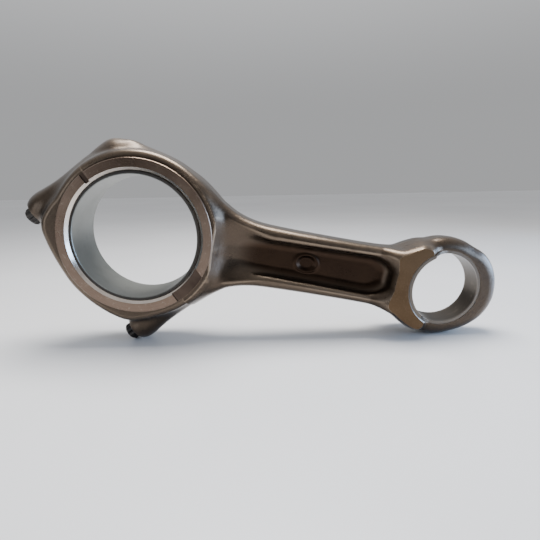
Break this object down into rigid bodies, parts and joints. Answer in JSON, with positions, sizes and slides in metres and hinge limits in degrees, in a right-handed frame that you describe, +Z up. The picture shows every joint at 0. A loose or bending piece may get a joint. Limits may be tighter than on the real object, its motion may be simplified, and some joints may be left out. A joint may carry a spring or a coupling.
{
  "type": "connecting rod",
  "caption": "Forged steel diesel connecting rod with an oblique split big end, bolted cap, bearing shells, I-beam shank, and a stepped small end with a pressed-in bush.",
  "frame": {"origin": "centre of the big-end bore, half way along it", "axes": "+Y along both bores, from the face with the forging mark to the other; +Z up with the rod resting on its lower bolt head and its small end; +X level, towards the small end, with the rod's centre line dipping 10.98 degrees below it"},
  "size_m": [0.3987, 0.046, 0.1709],
  "materials": {
    "forged_steel": "shot-blasted forging with a brown bronze tint; machined on the side faces and chamfers",
    "bearing_metal": "satin plated bearing surface",
    "bush_metal": "fine bored steel-backed bushing",
    "black_oxide": "black oxide, slightly oily"
  },
  "bodies": {
    "cap": {"rod_cap": "forged_steel", "lower_bearing_shell": "bearing_metal"},
    "rod": {"rod_body": "forged_steel", "upper_bearing_shell": "bearing_metal", "small_end_bush": "bush_metal"},
    "bolt_upper": {"bolt_upper": "black_oxide"},
    "bolt_lower": {"bolt_lower": "black_oxide"}
  },
  "joints": [
    {"name": "cap_release", "type": "slide", "parent": "cap", "child": "rod", "axis": [0.8288, 0, 0.5595], "range_m": [0, 0.08]},
    {"name": "bolt_upper_unscrew", "type": "slide", "parent": "cap", "child": "bolt_upper", "axis": [-0.8288, 0, -0.5595], "range_m": [0, 0.026]},
    {"name": "bolt_lower_unscrew", "type": "slide", "parent": "cap", "child": "bolt_lower", "axis": [-0.8288, 0, -0.5595], "range_m": [0, 0.026]}
  ]
}
